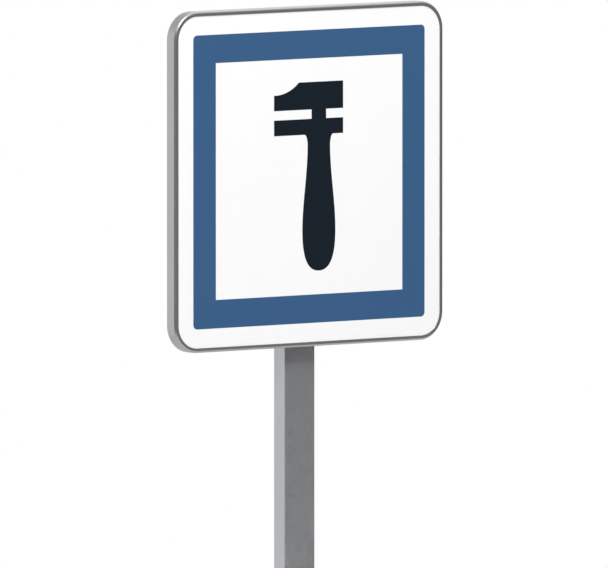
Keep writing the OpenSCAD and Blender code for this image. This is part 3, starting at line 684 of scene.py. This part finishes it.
# Points closer than this are one point, and faces within this many degrees are one face
SAME_POINT, SAME_FACE_ANGLE = 0.002, 0.3
MILL_TONE, MILL_ROUGH = 0.52, 0.36
PLATE_TONE, PLATE_ROUGH = 0.60, 0.30
TURNED_STEPS = 24
RIVET_HEAD_H, RIVET_HEAD_R, RIVET_RIM_H, RIVET_R, RIVET_GRIP = 1.4, 4, 0.25, 2, 4
RIVET_UNDER_H, RIVET_UNDER_W = 0.05, 0.1
DOME_DEGREES = range(70, -1, -10)
# The mandrel snaps off inside the head. Its stub is a low cone, in a hole with a broken edge
MANDREL_R, MANDREL_DEPTH, MANDREL_EDGE_H, MANDREL_EDGE_W = 1.15, 0.7, 0.08, 0.12
STUB_H, STUB_TIP_R, STUB_FOOT = 0.25, 0.2, 0.7
# The blind end as it is upset: radius, and distance past the grip
BLIND_END = [(2.4, 0), (2.7, 0.6), (2.7, 1.5), (2.35, 2.3), (1.3, 2.65), (1.2, 2.8), (0.9, 3), (0.2, 3)]
JOINT_RIVET_SEED = 11


def softened_copy(node, name, material, edge=BROKEN_EDGE, sharp=BROKEN_ANGLE):
    """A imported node's shape with its triangles joined into whole faces and its sharp edges broken."""
    shape = bmesh.new()
    shape.from_mesh(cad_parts[node].data)
    bmesh.ops.remove_doubles(shape, verts=shape.verts, dist=SAME_POINT * MM)
    bmesh.ops.dissolve_limit(shape, angle_limit=math.radians(SAME_FACE_ANGLE), verts=shape.verts,
                             edges=shape.edges)
    mesh = bpy.data.meshes.new(name)
    shape.to_mesh(mesh)
    shape.free()
    piece = add(name, mesh)
    broken = piece.modifiers.new("broken edges", "BEVEL")
    broken.width = edge * MM
    broken.segments = BROKEN_STEPS
    broken.limit_method = "ANGLE"
    broken.angle_limit = math.radians(sharp)
    settle(piece, material, sharp)
    stands_for(piece, node)


def turned_ring(radii, y):
    """A ring round the Y axis at y, with a radius for each of its points."""
    turns = [2 * math.pi * i / len(radii) for i in range(len(radii))]
    return [(r * math.cos(t), y, r * math.sin(t)) for r, t in zip(radii, turns)]


def lathe(profile, steps=TURNED_STEPS, closed_round=False):
    """A solid turned about Y from points (radius, y)."""
    return join_rings([turned_ring([r] * steps, y) for r, y in profile], closed_round)


def boxes_of_solids(node):
    """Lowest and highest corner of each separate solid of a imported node."""
    shape = bmesh.new()
    shape.from_mesh(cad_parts[node].data)
    bmesh.ops.remove_doubles(shape, verts=shape.verts, dist=SAME_POINT * MM)
    waiting, found = set(shape.verts), []
    while waiting:
        to_visit = [waiting.pop()]
        solid = []
        while to_visit:
            point = to_visit.pop()
            solid.append(point.co.copy())
            for edge in point.link_edges:
                other = edge.other_vert(point)
                if other in waiting:
                    waiting.remove(other)
                    to_visit.append(other)
        found.append([Vector(map(pick, zip(*solid))) for pick in (min, max)])
    shape.free()
    return sorted(found, key=lambda corners: tuple(corners[0]))


def seats_of(node, end, depth=0):
    """Each solid's seat: the middle of its box, at a depth in millimetres from its front or back end."""
    seats = []
    for low, high in boxes_of_solids(node):
        y = low.y + depth * MM if end == "front" else high.y - depth * MM
        seats.append(((low.x + high.x) / 2, y, (low.z + high.z) / 2))
    return seats


def bright_zinc(name, tone, rough):
    """Bright zinc plate: a cool clean grey with a slight bloom, and fine marks from tools."""
    material, tree, shader, spot = start_material(name)
    bloom = noise(tree, spot, scale=70, detail=5, rough=0.6)
    marks = noise(tree, stretched(tree, spot, (1, 0.3, 1)), scale=1300, detail=3)
    shade = sum_of(tree, between(tree, bloom, 0.90, 1.08), between(tree, marks, -0.04, 0.04))
    tree.links.new(tinted(tree, (tone * 0.985, tone, tone * 1.02), shade), shader.inputs["Base Color"])
    shader.inputs["Metallic"].default_value = 1.0
    tree.links.new(between(tree, bloom, rough - 0.08, rough + 0.1), shader.inputs["Roughness"])
    raise_surface(tree, shader, marks, strength=0.15, depth=0.0001)
    return material


zinc_plate = bright_zinc("zinc_plate", PLATE_TONE, PLATE_ROUGH)
mill_aluminium = extruded_aluminium("mill_aluminium", MILL_TONE, MILL_ROUGH)
softened_copy("joint_angle", "joint_angle_cut", mill_aluminium)

at_places = start_tree("fasteners at their places")
IN_FASTENER = tree_input(at_places, "Fastener", "NodeSocketObject")
IN_TURN = tree_input(at_places, "Most Turn", "NodeSocketFloat")
IN_SEED = tree_input(at_places, "Turn Seed", "NodeSocketInt")
IN_PLATE = tree_input(at_places, "Metal", "NodeSocketMaterial")
fastener_in = put(at_places, "NodeGroupInput").outputs
fastener = put(at_places, "GeometryNodeObjectInfo", {"Object": fastener_in["Fastener"], "As Instance": True})
random_turn = put(at_places, "FunctionNodeRandomValue", {
    "Min": maths(at_places, "MULTIPLY", fastener_in["Most Turn"], -1.0), "Max": fastener_in["Most Turn"],
    "Seed": fastener_in["Turn Seed"]}, data_type="FLOAT")
about_y = put(at_places, "ShaderNodeCombineXYZ", {"Y": random_turn.outputs["Value"]})
placed = put(at_places, "GeometryNodeInstanceOnPoints", {
    "Points": fastener_in["Geometry"], "Instance": fastener.outputs["Geometry"],
    "Rotation": about_y.outputs["Vector"]})
end_tree(at_places, placed.outputs["Instances"], fastener_in["Metal"])


def fasten(node, name, solid, seats, seed=0, most_turn=0.0):
    """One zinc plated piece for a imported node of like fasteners: the same solid at every seat, each
    turned its own way up to the most turn."""
    solid_points, solid_faces = solid
    one = in_metres("one_" + name, solid_points, faces=solid_faces)
    seat_mesh = bpy.data.meshes.new(name)
    seat_mesh.from_pydata(seats, [], [])
    piece = build_with(at_places, name, seat_mesh, {
        IN_FASTENER: one, IN_TURN: most_turn, IN_SEED: seed, IN_PLATE: zinc_plate}, zinc_plate)
    bpy.data.objects.remove(one)
    stands_for(piece, node)


stub_y = RIVET_HEAD_H - MANDREL_DEPTH
dome = [(RIVET_HEAD_R * math.cos(a), RIVET_RIM_H + (RIVET_HEAD_H - RIVET_RIM_H) * math.sin(a))
        for a in map(math.radians, DOME_DEGREES)]
rivet = lathe([
    (STUB_TIP_R, stub_y + STUB_H), (STUB_FOOT * MANDREL_R, stub_y), (MANDREL_R, stub_y),
    (MANDREL_R, RIVET_HEAD_H - MANDREL_EDGE_H), (MANDREL_R + MANDREL_EDGE_W, RIVET_HEAD_H), *dome,
    (RIVET_HEAD_R, RIVET_UNDER_H), (RIVET_HEAD_R - RIVET_UNDER_W, 0),
    (RIVET_R, 0), (RIVET_R, -RIVET_GRIP), *((r, -RIVET_GRIP - past) for r, past in BLIND_END)])
fasten("joint_rivets", "joint_rivets_set", rivet, seats_of("joint_rivets", "back", RIVET_HEAD_H),
       JOINT_RIVET_SEED, most_turn=math.pi)

# The rails: two square C channels of extruded aluminium across the back of the sheet, each bonded to
# it by two strips of black foam tape. Their slots face the post and take the clamp bolts' heads.
TAPE_BLACK = (0.075, 0.083, 0.088)


def foam_tape(name, colour):
    """Dark acrylic foam with a fine open grain."""
    material, tree, shader, spot = start_material(name)
    grain = noise(tree, spot, scale=2200, detail=3, rough=0.7)
    tree.links.new(tinted(tree, colour, between(tree, grain, 0.8, 1.2)), shader.inputs["Base Color"])
    tree.links.new(between(tree, grain, 0.75, 0.92), shader.inputs["Roughness"])
    raise_surface(tree, shader, grain, strength=0.4, depth=0.0002)
    return material


tape_foam = foam_tape("tape_foam", TAPE_BLACK)
for level_name in ("upper", "lower"):
    softened_copy(level_name + "_rail", level_name + "_rail_extruded", mill_aluminium)
    dress(level_name + "_rail_tape", tape_foam)

# The brackets: four folded plates of zinc plated steel. Each steps from the lips inside a rail's end out
# to the edge profile's flange, and blind rivets hold it to both.
BRACKET_RIVET_SEED = 12
for level_name in ("upper", "lower"):
    for side_name in ("left", "right"):
        bracket = f"{level_name}_{side_name}_bracket"
        softened_copy(bracket, bracket + "_folded", zinc_plate)
fasten("bracket_rivets", "bracket_rivets_set", rivet, seats_of("bracket_rivets", "back", RIVET_HEAD_H),
       BRACKET_RIVET_SEED, most_turn=math.pi)

# The clamps: two bands of galvanised steel folded round the back of the post, stiffened by a pressed
# bead, with an ear on each side that a bolt draws towards the rail.
CLAMP_TONE, CLAMP_ROUGH, CLAMP_SPANGLE_MM, CLAMP_EDGE = 0.57, 0.38, 4, 0.4
clamp_zinc = galvanised_steel("galvanised_clamp", CLAMP_TONE, CLAMP_ROUGH, CLAMP_SPANGLE_MM,
                              run=(0.15, 0.15, 1))
for level_name in ("upper", "lower"):
    softened_copy(level_name + "_clamp", level_name + "_clamp_band", clamp_zinc,
                  CLAMP_EDGE)

# The bolts: four zinc plated hammer-head M8 bolts. A head lies across the slot inside the rail, and the
# square neck stops it turning while a nut and washer pull the clamp's ear in.
HEAD_L, HEAD_W, HEAD_H, HEAD_R, HEAD_CHAMFER, HEAD_EDGE = 22, 11, 5, 1.2, 0.9, 0.3
NECK_H, NECK_R, NECK_EDGE_H, NECK_EDGE_W, BLOCK_STEPS = 2, 0.8, 0.3, 0.4, 6
# How far the neck reaches into the head, and the shank into the neck
SUNK = 0.5
SHANK_R, BOLT_CHAMFER = 4, 1
THREAD_PITCH, THREAD_DEPTH, THREAD_LEN, THREAD_RINGS = 1.25, 0.6, 13, 6
# The slope of the thread's sides, and how much of the wave is cut off flat at the crest
THREAD_SLOPE, THREAD_CREST = 1.4, 0.2


def block_rings(w, d, r, levels):
    """Rings of a block along Y: each level is (y, inset)."""
    return [[(p.x, y, p.y) for p in rectangle(w - 2 * inset, d - 2 * inset, r, BLOCK_STEPS)]
            for y, inset in levels]


def thread_radius(y, part_round, length):
    """How far out the thread stands at y, and at this part of the way round."""
    wave = (y / THREAD_PITCH - part_round) % 1
    depth = THREAD_DEPTH * min(1, max(0, THREAD_SLOPE * (1 - abs(2 * wave - 1)) - THREAD_CREST))
    chamfer = max(0, y - (length - BOLT_CHAMFER))
    return min(SHANK_R - depth, SHANK_R - chamfer)


def hammer_bolt(length):
    """A bolt with the underside of its head on y = 0 and its thread running back to y = length."""
    head = join_rings(block_rings(HEAD_W, HEAD_L, HEAD_R, [
        (-HEAD_H, HEAD_CHAMFER), (-HEAD_H + HEAD_EDGE, HEAD_EDGE), (-HEAD_H + HEAD_CHAMFER, 0),
        (-HEAD_EDGE, 0), (0, HEAD_EDGE)]))
    neck = join_rings(block_rings(HEAD_W, HEAD_W, NECK_R, [
        (-SUNK, 0), (NECK_H - NECK_EDGE_H, 0), (NECK_H, NECK_EDGE_W)]))
    rings = [turned_ring([SHANK_R] * TURNED_STEPS, y) for y in (NECK_H - SUNK, length - THREAD_LEN)]
    ring_count = int(THREAD_LEN / THREAD_PITCH * THREAD_RINGS)
    for k in range(1, ring_count + 1):
        y = length - THREAD_LEN + k * THREAD_LEN / ring_count
        rings.append(turned_ring([thread_radius(y, i / TURNED_STEPS, length)
                                  for i in range(TURNED_STEPS)], y))
    return merged([head, neck, join_rings(rings)])


bolt_low, bolt_high = boxes_of_solids("clamp_bolts")[0]
bolt = hammer_bolt((bolt_high.y - bolt_low.y) / MM - HEAD_H)
fasten("clamp_bolts", "clamp_bolts_threaded", bolt, seats_of("clamp_bolts", "front", HEAD_H))

# The washers: four punched rings of zinc plated steel, each between a clamp's ear and a nut. The edge
# that the punch drew down is rounder than the others.
WASHER_R, WASHER_HOLE_R, WASHER_T, WASHER_STEPS = 8.5, 4.2, 1.6, 40
DRAWN_EDGE, DRAWN_MIDDLE, HOLE_EDGE, UNDER_EDGE = 0.25, 0.07, 0.1, 0.05
WASHER_SEED = 5
washer = lathe([
    (WASHER_HOLE_R, HOLE_EDGE), (WASHER_HOLE_R, WASHER_T - HOLE_EDGE), (WASHER_HOLE_R + HOLE_EDGE, WASHER_T),
    (WASHER_R - DRAWN_EDGE, WASHER_T), (WASHER_R - DRAWN_MIDDLE, WASHER_T - DRAWN_MIDDLE),
    (WASHER_R, WASHER_T - DRAWN_EDGE), (WASHER_R, UNDER_EDGE), (WASHER_R - UNDER_EDGE, 0),
    (WASHER_HOLE_R + HOLE_EDGE, 0)], WASHER_STEPS, closed_round=True)
fasten("clamp_washers", "clamp_washers_punched", washer, seats_of("clamp_washers", "front"),
       WASHER_SEED, most_turn=math.pi)

# The nuts: four forged M8 hexagon nuts, zinc plated. Each is tightened on a clamp bolt's thread until the
# band holds the post.
NUT_EDGE, NUT_ANGLE = 0.15, 20
softened_copy("clamp_nuts", "clamp_nuts_forged", zinc_plate, NUT_EDGE, NUT_ANGLE)
